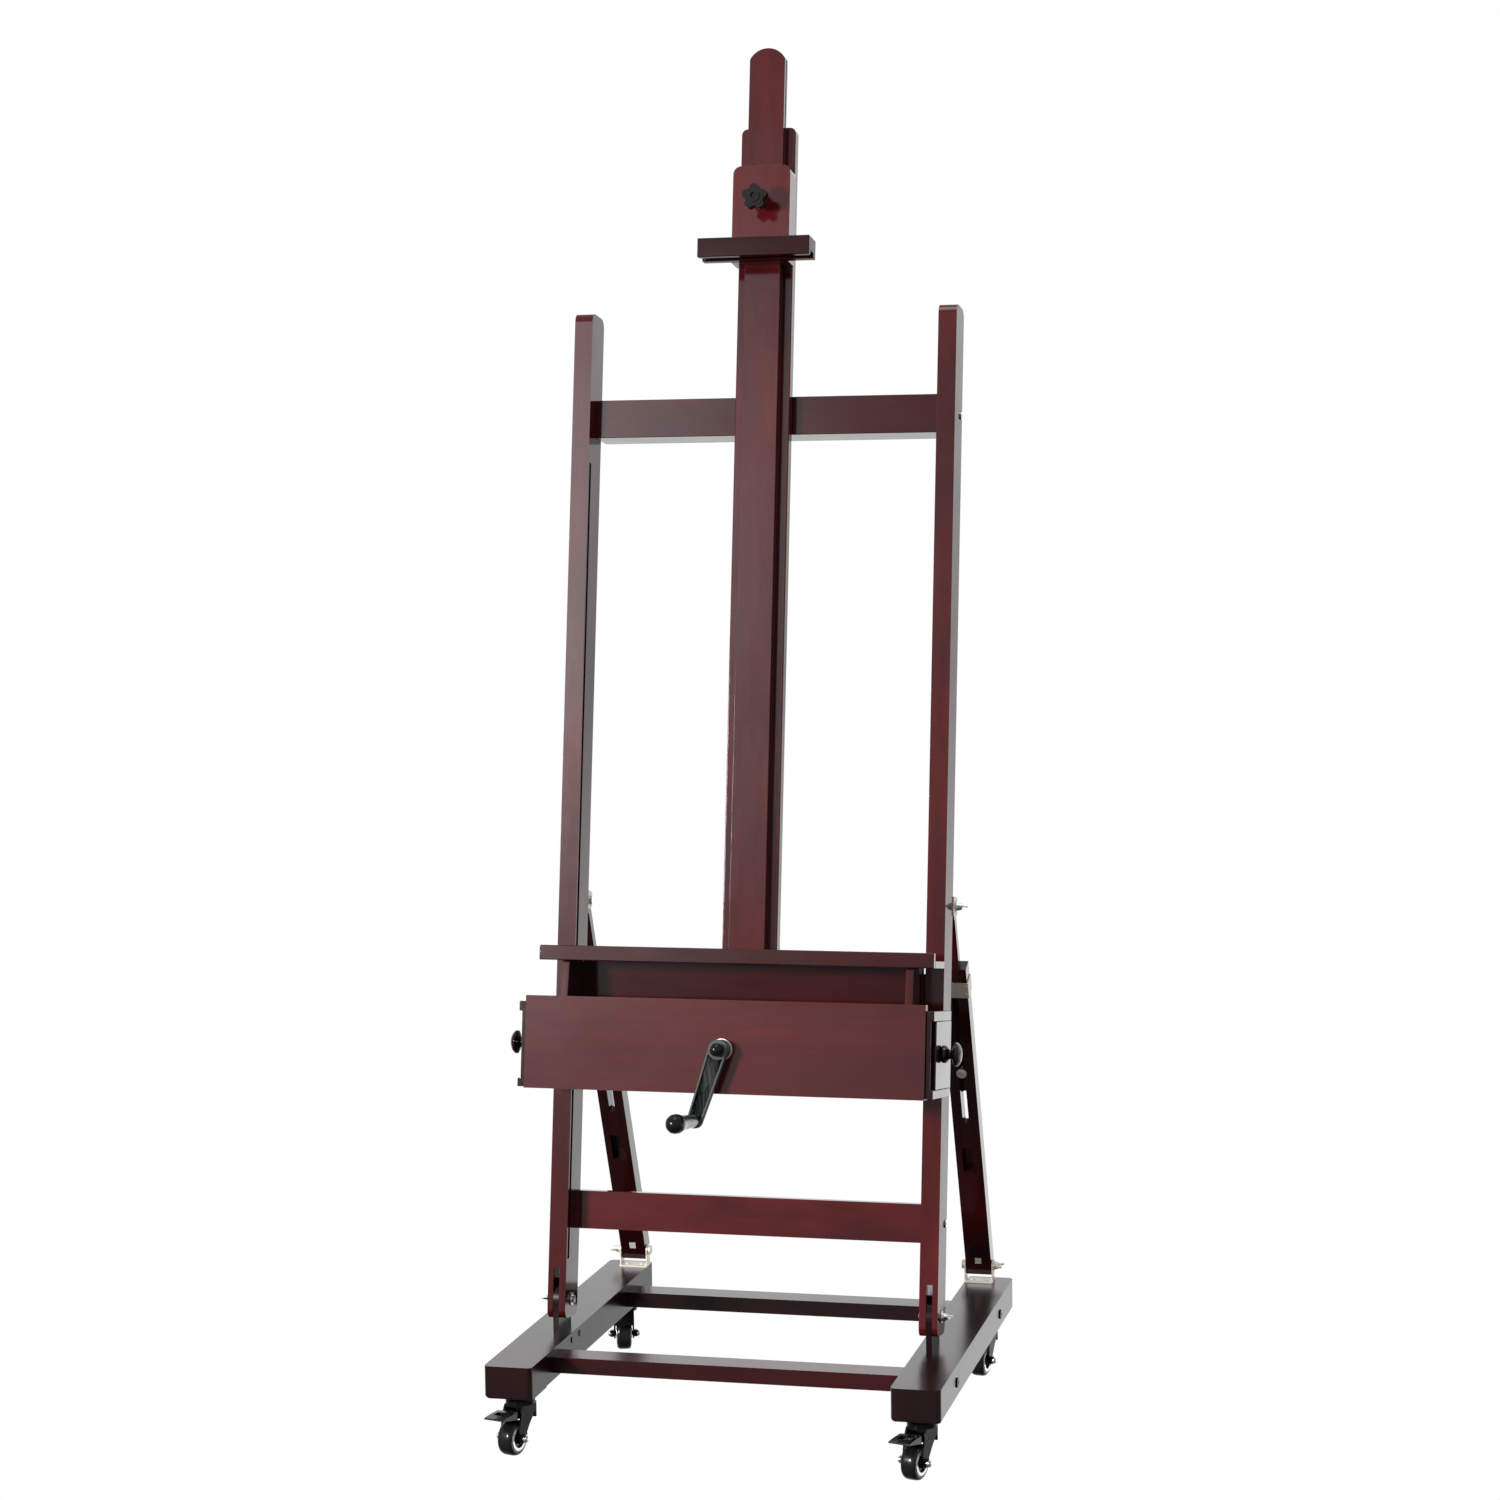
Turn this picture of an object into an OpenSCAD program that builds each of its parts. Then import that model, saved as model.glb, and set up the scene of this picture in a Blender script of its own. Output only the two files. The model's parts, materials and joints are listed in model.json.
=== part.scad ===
// Studio easel with an H shaped frame, a crank lifted tray box and four casters.
// Origin: floor level at the centre of the base. X to the right, Y to the back, Z up.

/* [Base] */
// overall width across the two feet
base_w = 650; // [500:10:800]
// length of each foot, front to back
foot_len = 632; // [500:4:800]
// width of one foot
foot_w = 70; // [50:2:90]
// height of one foot
foot_h = 48; // [36:1:60]
// height of the underside of the feet above the floor
caster_h = 86.5; // [80:0.5:100]
// depth of the two base rails
rail_d = 44; // [30:1:60]
// thickness of the two base rails
rail_t = 23; // [16:1:30]
// distance of each base rail from the middle
rail_y = 188; // [120:2:230]

/* [Frame] */
// backward lean of the frame at rest
lean = 8.5; // [0:0.5:12]
// outside width of the frame
frame_w = 576; // [480:4:600]
// width of an upright seen from the front
post_w = 27; // [20:1:36]
// depth of an upright
post_d = 60; // [45:1:75]
// top of the uprights, measured along them
post_top = 1505; // [1300:1:1600]
// top edge of the upper crossbar
upper_bar = 1378; // [1200:1:1440]
// top edge of the lower crossbar
lower_bar = 207.2; // [180:0.2:260]

/* [Tray box] */
// height of the box bottom along the frame at rest
box_w0 = 362; // [330:1:420]
// height of the box
box_h = 122.5; // [90:0.5:160]
// depth of the front panel face in front of the frame
box_d = 141.4; // [110:0.2:180]
// half width of the front panel
box_x = 288.5; // [240:0.5:320]
// underside of the canvas shelf
shelf_w = 543.6; // [500:0.2:620]
// front to back depth of the canvas shelf
shelf_d = 85.3; // [60:0.1:110]

/* [Mast] */
// half width of the mast back board
mast_x = 41; // [30:0.5:50]
// top of the mast back board
mast_top = 1775; // [1500:1:1900]
// half width of the sliding front bar
bar_x = 26.6; // [18:0.5:30]
// top of the sliding front bar
bar_top = 1890; // [1700:1:2000]
// underside of the canvas clamp
clamp_w = 1566; // [1300:1:1650]

/* [Crank] */
// height of the crank axis along the frame
crank_w = 424; // [400:1:450]
// length of the crank arm
crank_r = 104; // [80:1:120]
// swing of the crank arm from straight down
crank_a = 17.5; // [0:0.5:40]

/* [Hidden] */
fz = caster_h;
zt = caster_h + foot_h;
yh = -139.8;
bx = base_w / 2;
fi = bx - foot_w;
px = frame_w / 2;
pi = px - post_w;
sl = pi + 10;
sr = pi + 19;
upper_h = 56.6;
piv_n = 30;
piv_w = 50;
box_w1 = box_w0 + box_h;
pan_w1 = box_w1 + 8.5;
ply = 15;
in_n = -box_d + ply;
lo_w = box_w0 + 13.6;
hi_w = box_w1 - 13.9;
knob_n = -76;
knob_w = (lo_w + hi_w) / 2 + 1.6;
cas_x = 289;
cas_y = 262;
leg_y = 288.5;
leg_z = 160;
leg_a = 23.43;
leg_l = 642.8;
leg_x = 277;
bolt_s = 358;
wood = [0.36, 0.16, 0.15];
wood_dark = [0.2, 0.1, 0.1];
steel = [0.75, 0.75, 0.73];
zinc = [0.86, 0.83, 0.72];
black = [0.08, 0.08, 0.09];
grey = [0.3, 0.33, 0.32];
turn = [[-1, -1, 256], [1, -1, 254], [-1, 1, 106], [1, 1, 262]];

// ---------- shared shapes ----------

// box from one corner to the other
module blk(a, b) {
  translate(a) cube(b - a);
}

// cylinder along X
module cx(x0, x1, y, z, r) {
  translate([x0, y, z]) rotate([0, 90, 0]) cylinder(h = x1 - x0, r = r, $fn = 48);
}

// cylinder along Y
module cy(y0, y1, x, z, r) {
  translate([x, y0, z]) rotate([-90, 0, 0]) cylinder(h = y1 - y0, r = r, $fn = 48);
}

// hexagon along X
module hx(x0, x1, y, z, r) {
  translate([x0, y, z]) rotate([0, 90, 0]) cylinder(h = x1 - x0, r = r, $fn = 6);
}

// frame coordinates: x, depth n behind the upright fronts, w along the uprights
module fr() {
  translate([0, yh, zt]) rotate([-lean, 0, 0]) children();
}

// rear leg coordinates: x, m behind the pivot line, s along the leg
module lg() {
  translate([0, leg_y, leg_z]) rotate([leg_a, 0, 0]) children();
}

// wing nut on a bolt along X, seated at x and opening outward
module wing_nut(x, y, z) {
  translate([x, y, z]) {
    difference() {
      rotate([0, 90, 0]) cylinder(h = 7, r1 = 6.5, r2 = 4.8, $fn = 32);
      cx(-1, 8, 0, 0, 3.9);
    }
    for (s = [0, 1]) mirror([0, s, 0]) translate([0, 0, -1.2]) linear_extrude(2.4)
      polygon([[1, 4.6], [5, 4.2], [11, 7], [13.5, 11], [13, 13.5], [10, 14], [6, 10.5], [1, 6]]);
  }
}

// ---------- base ----------

// one foot, drawn on the right hand side
module foot_body() {
  r = 6;
  ye = foot_len / 2 - 8;
  difference() {
    union() {
      blk([fi, -ye, fz + r], [bx, ye, zt]);
      blk([fi + r, -ye, fz], [bx - r, ye, fz + r + 1]);
      for (x = [fi + r, bx - r]) cy(-ye, ye, x, fz + r, r);
      blk([fi + 8, -foot_len / 2, fz + 5], [bx - 8, foot_len / 2, zt]);
      for (x = [fi + 8, bx - 8], y = [-foot_len / 2 + 8, foot_len / 2 - 8])
        translate([x, y, fz + 5]) cylinder(h = foot_h - 5, r = 8, $fn = 48);
    }
    blk([sl + 0.3, yh + 7, zt - 30], [sr - 0.3, yh + 67, zt + 1]);
    for (y = [-1, 1]) cx(fi - 1, bx + 1, y * rail_y, fz + 24, 4);
    for (y = [yh + 18, yh + 56]) cx(fi - 1, sl + 2, y, zt - 11, 2.5);
  }
}

module left_foot() {
  color(wood) mirror([1, 0, 0]) foot_body();
}

module right_foot() {
  color(wood) foot_body();
}

// flat rail between the feet
module base_rail(y) {
  difference() {
    blk([-fi, y - rail_d / 2, fz + 24 - rail_t / 2], [fi, y + rail_d / 2, fz + 24 + rail_t / 2]);
    for (s = [-1, 1]) cx(s > 0 ? fi - 45 : -fi - 1, s > 0 ? fi + 1 : -fi + 45, y, fz + 24, 4);
  }
}

module front_base_rail() {
  color(wood) base_rail(-rail_y);
}

module rear_base_rail() {
  color(wood) base_rail(rail_y);
}

// pivot point of the frame in base coordinates
py = yh + piv_w * sin(lean) + piv_n * cos(lean);
pz = zt + piv_w * cos(lean) - piv_n * sin(lean);

// thin plates let into the feet, one per upright
module hinge_tongues() {
  color(wood_dark) for (s = [-1, 1]) difference() {
    union() {
      translate([s > 0 ? sl + 0.3 : -sr + 0.3, yh + 7, zt - 30]) cube([8.4, 60, pz - zt + 30]);
      cx(s > 0 ? sl + 0.3 : -sr + 0.3, s > 0 ? sr - 0.3 : -sl - 0.3, py, pz, 30);
    }
    cx(s > 0 ? sl : -sr, s > 0 ? sr : -sl, py, pz, 4.05);
    for (y = [yh + 18, yh + 56]) cx(s > 0 ? sl - 1 : -sl - 4, s > 0 ? sl + 4 : -sl + 1, y, zt - 11, 2.5);
  }
}

// rail bolts from the outside of the feet and tongue screws from the inside
module base_screws() {
  color(steel) for (s = [0, 1]) mirror([s, 0, 0]) {
    for (y = [-1, 1]) difference() {
      union() {
        cx(fi - 44, bx + 1.5, y * rail_y, fz + 24, 3.95);
        cx(bx + 0.1, bx + 2, y * rail_y, fz + 24, 7);
      }
      hx(bx - 2, bx + 3, y * rail_y, fz + 24, 3);
    }
    for (y = [yh + 18, yh + 56]) {
      cx(fi - 1.2, fi - 0.1, y, zt - 11, 4.5);
      cx(fi - 0.5, sl + 1.9, y, zt - 11, 2.45);
    }
  }
}

// bent plates on the foot tops that hold the rear legs, with their bolts and wing nuts
module foot_brackets() {
  color(zinc) for (k = [0, 1]) mirror([k, 0, 0]) {
    translate([leg_x, leg_y, zt]) difference() {
      union() {
        blk([-22, -14, 0], [22, 14, 2]);
        for (x = [-22, 20.3]) {
          blk([x, -9, 0], [x + 1.7, 9, leg_z - zt]);
          cx(x, x + 1.7, 0, leg_z - zt, 9);
        }
        for (x = [-11, 11]) translate([x, 0, 1.9]) cylinder(h = 1.4, r = 4, $fn = 32);
      }
      cx(-24, 24, 0, leg_z - zt, 4.05);
    }
    cx(leg_x - 24, leg_x + 33, leg_y, leg_z, 3.95);
    cx(leg_x - 27, leg_x - 22.1, leg_y, leg_z, 7);
    cx(leg_x + 22.1, leg_x + 23.6, leg_y, leg_z, 8);
    wing_nut(leg_x + 23.6, leg_y, leg_z);
  }
}

// ---------- casters ----------

// caster coordinates: origin on the floor under the swivel, +X along the roll direction
module at_caster(i) {
  translate([turn[i][0] * cas_x, turn[i][1] * cas_y, 0]) rotate([0, 0, turn[i][2]]) children();
}

module caster_plates() {
  color(black) for (i = [0:3]) translate([turn[i][0] * cas_x, turn[i][1] * cas_y, 0]) {
    difference() {
      blk([-29, -32, fz - 3], [29, 32, fz]);
      for (x = [-22, 22], y = [-25, 25]) translate([x, y, fz - 4]) cylinder(h = 2, r = 3, $fn = 32);
    }
    translate([0, 0, fz - 10]) cylinder(h = 7.5, r = 18, $fn = 64);
    translate([0, 0, fz - 22]) cylinder(h = 13, r = 5, $fn = 48);
    translate([0, 0, fz - 26]) cylinder(h = 8.8, r = 7.5, $fn = 6);
  }
}

// side plate of a fork between two heights, drawn in the x z plane
module fork_leg() {
  rotate([90, 0, 0]) linear_extrude(2.6)
    polygon([[-17, 60], [-15, 70], [17, 70], [23, 60], [27.5, 40], [28.5, 25], [27, 18], [22, 16.5],
             [17, 18], [14, 25], [1, 42]]);
}

module caster_fork(i) {
  color(black) at_caster(i) {
    difference() {
      union() {
        translate([0, 0, 69.5]) cylinder(h = 6.9, r = 21, $fn = 64);
        blk([-15, -16, 66], [17, 16, 70]);
        blk([-16.8, -16, 47], [-14.2, 16, 70]);
        for (y = [16.1, -13.5]) translate([0, y, 0]) fork_leg();
      }
      translate([0, 0, 60]) cylinder(h = 20, r = 5.06, $fn = 48);
      translate([0, 0, 60]) cylinder(h = 9.5, r = 9, $fn = 48);
      cy(-17, 17, 14, 57.5, 2.05);
    }
    cy(-21, 21, 22, 25, 3.95);
    for (y = [-20.4, 16.2]) translate([22, y, 25]) rotate([-90, 0, 0]) cylinder(h = 4.2, r = 6, $fn = 6);
  }
}

// wheel turned about its axle: tread, rounded shoulders, hub ring and dished side
module caster_wheel(i) {
  color(black) at_caster(i) translate([22, 0, 25]) rotate([90, 0, 0]) rotate_extrude($fn = 96)
    polygon([[4.02, -12.6], [8, -12.6], [8, -9], [13.6, -9], [13.6, -12], [18, -12], [18, -11],
             [21, -11.4], [23.5, -10], [24.7, -7], [25, -3.5], [25, 3.5], [24.7, 7], [23.5, 10],
             [21, 11.4], [18, 11], [18, 12], [13.6, 12], [13.6, 9], [8, 9], [8, 12.6], [4.02, 12.6]]);
}

// foot pedal on a pin between the fork legs
module caster_brake(i) {
  color(black) at_caster(i) {
    difference() {
      union() {
        translate([0, 12, 0]) rotate([90, 0, 0]) linear_extrude(24)
          polygon([[10, 55], [13, 53], [28, 53.6], [36, 55], [36, 65.4], [20, 63.8], [10, 61.5]]);
        translate([0, 16, 0]) rotate([90, 0, 0]) linear_extrude(32)
          polygon([[34, 55], [40, 56], [58, 59.4], [70, 61.4], [69.4, 63.6], [54, 65], [34, 65.4]]);
      }
      translate([42, -10, 61.6]) cube([14, 20, 6]);
    }
    cy(-15.6, 15.6, 14, 57.5, 2);
  }
}

// ---------- H frame ----------

// one upright, drawn on the right hand side
module upright() {
  r0 = 14;
  r1 = 14;
  difference() {
    union() {
      blk([pi, 0, 24 + r0], [px, post_d, post_top - r1]);
      blk([pi, r0, 24], [px, post_d - r0, 24 + r0 + 1]);
      blk([pi, r1, post_top - r1 - 1], [px, post_d - r1, post_top]);
      for (n = [r0, post_d - r0]) cx(pi, px, n, 24 + r0, r0);
      for (n = [r1, post_d - r1]) cx(pi, px, n, post_top - r1, r1);
    }
    blk([sl, -1, 0], [sr, post_d + 1, 97]);
    cx(pi - 1, px + 1, piv_n, piv_w, 4.05);
    blk([pi - 1, 4, 110], [pi + 9, 13, 1276.5]);
    cx(pi - 1, pi + 9, 8.5, 1276.5, 4.5);
    for (w = [upper_bar - 30, lower_bar - 27]) cx(pi - 1, px + 1, 47, w, 4);
  }
}

module left_upright() {
  color(wood) fr() mirror([1, 0, 0]) upright();
}

module right_upright() {
  color(wood) fr() upright();
}

module crossbar(n0, n1, w0, w1) {
  difference() {
    blk([-pi, n0, w0], [pi, n1, w1]);
    for (s = [0, 1]) mirror([s, 0, 0]) cx(pi - 50, pi + 1, 47, w1 - (w1 > 1000 ? 30 : 27), 4);
  }
}

module upper_crossbar() {
  color(wood) fr() crossbar(31, 86, upper_bar - upper_h, upper_bar);
}

module lower_crossbar() {
  color(wood) fr() crossbar(36, post_d, lower_bar - 55, lower_bar);
}

module crossbar_bolts() {
  color(steel) fr() for (s = [0, 1], w = [upper_bar - 30, lower_bar - 27]) mirror([s, 0, 0]) difference() {
    union() {
      cx(pi - 49, px + 1, 47, w, 3.95);
      cx(px + 0.1, px + 2.2, 47, w, 6);
    }
    hx(px - 2, px + 3, 47, w, 2.6);
  }
}

// bolts joining the uprights to the tongues, heads inboard and wing nuts outboard
module pivot_bolts() {
  color(steel) fr() for (s = [0, 1]) mirror([s, 0, 0]) {
    cx(pi - 3, px + 10, piv_n, piv_w, 4);
    cx(pi - 1.6, pi - 0.1, piv_n, piv_w, 9);
    cx(pi - 5, pi - 1.6, piv_n, piv_w, 5.5);
    cx(px + 0.1, px + 1.5, piv_n, piv_w, 8.5);
    wing_nut(px + 1.5, piv_n, piv_w);
  }
}

// leg pivot in frame coordinates
cy0 = leg_y - leg_l * sin(leg_a) - yh;
cz0 = leg_z + leg_l * cos(leg_a) - zt;
cn = cy0 * cos(lean) - cz0 * sin(lean);
cw = cy0 * sin(lean) + cz0 * cos(lean);

module leg_top_brackets() {
  color(zinc) fr() for (s = [0, 1]) mirror([s, 0, 0]) difference() {
    union() {
      blk([leg_x - 12.6, post_d + 0.05, cw - 14], [leg_x + 12.6, post_d + 2, cw + 14]);
      for (x = [-12.6, 10.6]) {
        blk([leg_x + x, post_d + 0.05, cw - 14], [leg_x + x + 2, cn, cw + 14]);
        cx(leg_x + x, leg_x + x + 2, cn, cw, 14);
      }
    }
    cx(leg_x - 14, leg_x + 14, cn, cw, 4);
  }
}

module leg_top_bolts() {
  color(steel) fr() for (s = [0, 1]) mirror([s, 0, 0]) {
    cx(leg_x - 15, leg_x + 22, cn, cw, 3.95);
    cx(leg_x - 17, leg_x - 12.7, cn, cw, 6.5);
    cx(leg_x + 12.7, leg_x + 14.1, cn, cw, 8);
    wing_nut(leg_x + 14.1, cn, cw);
  }
}

// toothed bar hung from the upper crossbar behind the mast
module lift_rack() {
  t = PI * 2;
  n = floor((upper_bar - upper_h - 20 - (crank_w - 45)) / t);
  w0 = crank_w - 7 * t;
  color(steel) fr() {
    translate([0, 40, 0]) rotate([90, 0, 0]) linear_extrude(10) polygon(concat(
      [[24, w0 - t / 2], [24, upper_bar - upper_h], [14.6, upper_bar - upper_h]],
      [for (k = [n:-1:0], p = [[14.6, 0.78], [10.4, 0.58], [10.4, 0.42], [14.6, 0.22]])
        [p[0], w0 + (k + p[1]) * t]],
      [[14.6, w0 - t / 2]]));
    blk([2, 29, upper_bar - upper_h - 4], [32, 44, upper_bar - upper_h - 0.05]);
  }
}

// ---------- rear legs ----------

// channelled lower leg, right hand side
module leg_lower() {
  difference() {
    union() {
      blk([leg_x - 20, -7, 0], [leg_x + 20, 18, 539.5]);
      blk([leg_x - 20, -7, -13], [leg_x + 20, 14, 1]);
    }
    blk([leg_x - 10.3, -8, 178], [leg_x + 10.3, 7, 541]);
    blk([leg_x - 4.5, 6, 249.5], [leg_x + 4.5, 19, 313]);
    for (s = [249.5, 313]) cy(6, 19, leg_x, s, 4.5);
    cy(6, 19, leg_x, bolt_s, 4);
    cx(leg_x - 21, leg_x + 21, 0, 0, 4.05);
  }
}

module left_leg_lower() {
  color(wood_dark) lg() mirror([1, 0, 0]) leg_lower();
}

module right_leg_lower() {
  color(wood_dark) lg() leg_lower();
}

// strap around the top of the lower leg and the clamp bolt in the slot
module leg_clamp() {
  difference() {
    blk([leg_x - 21.5, -8.6, 491.5], [leg_x + 21.5, 19.6, 517]);
    blk([leg_x - 20.1, -7.1, 490], [leg_x + 20.1, 18.1, 518]);
  }
  for (s = [498, 510.5]) cy(-9.8, -8.5, leg_x + 17, s, 2.2);
  cy(-12, 24, leg_x, bolt_s, 3.95);
  cy(-8.6, -7.1, leg_x, bolt_s, 8);
  cy(-12.4, -8.6, leg_x, bolt_s, 5.5);
  cy(18.1, 19.6, leg_x, bolt_s, 9);
  translate([leg_x, 19.6, bolt_s]) rotate([-90, 0, 0]) cylinder(h = 5, r = 7, $fn = 6);
  translate([leg_x - 5, -8.4, 8]) cube([10, 1.3, 10]);
}

module left_leg_clamp() {
  color(steel) lg() mirror([1, 0, 0]) leg_clamp();
}

module right_leg_clamp() {
  color(steel) lg() leg_clamp();
}

// slotted upper leg that slides in the channel
module leg_upper() {
  difference() {
    union() {
      blk([leg_x - 10, -6.9, 222], [leg_x + 10, 6.9, leg_l]);
      blk([leg_x - 10, -10, leg_l - 18], [leg_x + 10, 10, leg_l]);
      cx(leg_x - 10, leg_x + 10, 0, leg_l, 10);
    }
    blk([leg_x - 4.5, -8, 272.8], [leg_x + 4.5, 8, 505]);
    for (s = [272.8, 505]) cy(-8, 8, leg_x, s, 4.5);
    cx(leg_x - 11, leg_x + 11, 0, leg_l, 5.2);
  }
}

module left_leg_upper() {
  color(wood_dark) lg() mirror([1, 0, 0]) leg_upper();
}

module right_leg_upper() {
  color(wood_dark) lg() leg_upper();
}

// ---------- tray box ----------

module front_panel() {
  color(wood) fr() difference() {
    blk([-box_x, -box_d, box_w0], [box_x, in_n, pan_w1]);
    cy(-box_d - 1, in_n + 1, 0, crank_w, 9);
  }
}

module case_top() {
  color(wood) fr() blk([-box_x, in_n, hi_w], [box_x, -13, box_w1]);
}

module case_bottom() {
  color(wood) fr() blk([-box_x, in_n, box_w0], [box_x, -13, lo_w]);
}

module carriage_back() {
  color(wood) fr() difference() {
    union() {
      blk([-box_x, -13, box_w0], [box_x, -1, box_w1]);
      blk([-pi + 3, -1, box_w0 + 10], [pi - 3, 7, shelf_w]);
    }
    cy(-14, 8, 0, crank_w, 6.1);
  }
}

// end frame with an opening for the drawer, right hand side
module end_frame() {
  x0 = box_x;
  blk([x0, -136, box_w0 + 1.5], [x0 + 6.8, -129, box_w1]);
  blk([x0, -136, hi_w], [x0 + 11.2, -1, box_w1]);
  blk([x0, -136, box_w0 + 1.5], [x0 + 11.2, -1, lo_w]);
}

module left_end_frame() {
  color(wood) fr() mirror([1, 0, 0]) end_frame();
}

module right_end_frame() {
  color(wood) fr() end_frame();
}

// bracket between box and shelf
module cheek() {
  translate([246.5, 0, 0]) rotate([90, 0, 90]) linear_extrude(10.5)
    polygon([[-1, box_w1], [-79, box_w1], [-71, shelf_w], [-1, shelf_w]]);
}

module left_cheek() {
  color(wood) fr() mirror([1, 0, 0]) cheek();
}

module right_cheek() {
  color(wood) fr() cheek();
}

module shelf_board() {
  color(wood) fr() difference() {
    blk([-box_x, -shelf_d + 12.3, shelf_w], [box_x, -1, shelf_w + 10.4]);
    blk([-bar_x - 0.3, -12.3, shelf_w - 1], [bar_x + 0.3, 0, shelf_w + 11]);
  }
}

module shelf_lip() {
  color(wood) fr() blk([-box_x, -shelf_d, shelf_w], [box_x, -shelf_d + 12.3, shelf_w + 21.4]);
}

// strips behind the box that ride in the upright grooves
module runners() {
  color(wood_dark) fr() for (s = [0, 1]) mirror([s, 0, 0]) {
    blk([pi - 26, 7, box_w0 + 22], [pi - 0.3, 20, shelf_w - 8]);
    blk([pi - 1, 4.15, box_w0 + 22], [pi + 8.8, 12.85, shelf_w - 8]);
  }
}

module mast_back_board() {
  r = 9;
  color(wood) fr() difference() {
    union() {
      blk([-mast_x, 7, crank_w + 25], [mast_x, 27, mast_top - r]);
      blk([-mast_x + r, 7, mast_top - r - 1], [mast_x - r, 27, mast_top]);
      for (x = [-mast_x + r, mast_x - r]) cy(7, 27, x, mast_top - r, r);
    }
    blk([-8.1, 6, shelf_w + 12], [8.1, 15.1, mast_top + 1]);
  }
}

// metal ring on the panel and tube that carries the crank shaft
module crank_bearing() {
  color(steel) fr() difference() {
    union() {
      cy(-box_d - 2.2, -box_d - 0.05, 0, crank_w, 15.3);
      cy(-box_d - 0.1, in_n + 4, 0, crank_w, 8.95);
    }
    cy(-box_d - 4, in_n + 5, 0, crank_w, 6.05);
  }
}

// ---------- crank ----------

module crank_shaft() {
  t = 12;
  color(steel) fr() {
    cy(-box_d - 26, 44, 0, crank_w, 6);
    translate([0, 39, crank_w]) rotate([90, 0, 0]) linear_extrude(8) polygon([
      for (k = [0:t - 1], p = [[9.2, -10.5], [9.2, -8], [13.3, -4], [13.3, 4], [9.2, 8], [9.2, 10.5]])
        [p[0] * cos(k * 30 + p[1]), p[0] * sin(k * 30 + p[1])]]);
  }
}

// crank coordinates: origin on the axis at the panel face, -Z along the arm
module cr() {
  fr() translate([0, -box_d, crank_w]) rotate([0, crank_a, 0]) children();
}

// arm with its hub, raised edge ribs and the pin of the grip
module crank_arm() {
  n0 = -22;
  n1 = -13;
  color(grey) cr() {
    difference() {
      union() {
        cy(-24, -2.6, 0, 0, 14);
        translate([0, n1, 0]) rotate([90, 0, 0]) linear_extrude(n1 - n0)
          polygon([[-13.8, 2], [13.8, 2], [10.8, -crank_r], [-10.8, -crank_r]]);
        cy(n0, n1, 0, -crank_r, 10.8);
        for (s = [-1, 1]) translate([0, n0 + 0.1, 0]) rotate([90, 0, 0]) linear_extrude(2.4)
          polygon([[s * 13.4, -8], [s * 10.9, -8], [s * 8.2, -crank_r + 4], [s * 10.7, -crank_r + 4]]);
      }
      cy(-30, 0, 0, 0, 6.02);
    }
    cy(-100, -20, 0, -crank_r, 4);
  }
}

module crank_cap() {
  color(black) cr() difference() {
    union() {
      cy(-30, -24.1, 0, 0, 9.4);
      translate([0, -30, 0]) sphere(r = 9.4, $fn = 48);
    }
    blk([-10, -24.1, -10], [10, -20, 10]);
    cy(-26.05, 0, 0, 0, 6);
  }
}

// turning hand grip on the pin
module crank_grip() {
  color(black) cr() translate([0, 0, -crank_r]) rotate([90, 0, 0]) rotate_extrude($fn = 96)
    polygon([[4.05, 25], [7.4, 25], [8.4, 26.5], [9, 34], [9.8, 60], [10.6, 85], [11.4, 100],
             [12.8, 110], [13.5, 118], [13.1, 126], [11.2, 132], [7.6, 136], [3.4, 137.6], [0, 137.8],
             [0, 100.5], [4.05, 100.5]]);
}

// ---------- drawers ----------

// drawer front between the rails of the end frame, right hand side
module drawer_front() {
  difference() {
    blk([box_x + 4.7, -117, lo_w + 0.6], [box_x + 11.5, -1.5, hi_w - 0.6]);
    cx(box_x, box_x + 20, knob_n, knob_w, 3);
  }
}

// glued drawer tray: two sides, back, inner front and bottom
module drawer_tray() {
  x0 = 32;
  x1 = box_x + 4.65;
  difference() {
    blk([x0, -117, lo_w + 0.2], [x1, -14, lo_w + 80]);
    blk([x0 + 8, -109, lo_w + 5.2], [x1 - 8, -22, lo_w + 81]);
    cx(x1 - 9, x1 + 1, knob_n, knob_w, 3);
  }
}

// turned knob on the drawer front
module drawer_knob() {
  translate([box_x + 11.55, knob_n, knob_w]) rotate([0, 90, 0]) {
    rotate_extrude($fn = 96)
      polygon([[0, 0], [9.4, 0], [12, 1.4], [12.6, 4], [12, 7], [9.4, 9.6], [7, 11.6], [6.6, 13.4],
               [7.8, 15.4], [12.6, 17.4], [16.2, 19], [17, 20.6], [16.4, 22.8], [14, 25.4], [10, 27.6],
               [5, 28.7], [0, 29]]);
    translate([0, 0, -16]) cylinder(h = 17, r = 2.95, $fn = 32);
  }
}

module left_drawer_front() {
  color(wood) fr() mirror([1, 0, 0]) drawer_front();
}

module right_drawer_front() {
  color(wood) fr() drawer_front();
}

module left_drawer_tray() {
  color(wood_dark) fr() mirror([1, 0, 0]) drawer_tray();
}

module right_drawer_tray() {
  color(wood_dark) fr() drawer_tray();
}

module left_drawer_knob() {
  color(wood_dark) fr() mirror([1, 0, 0]) drawer_knob();
}

module right_drawer_knob() {
  color(wood_dark) fr() drawer_knob();
}

// ---------- mast extension ----------

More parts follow.
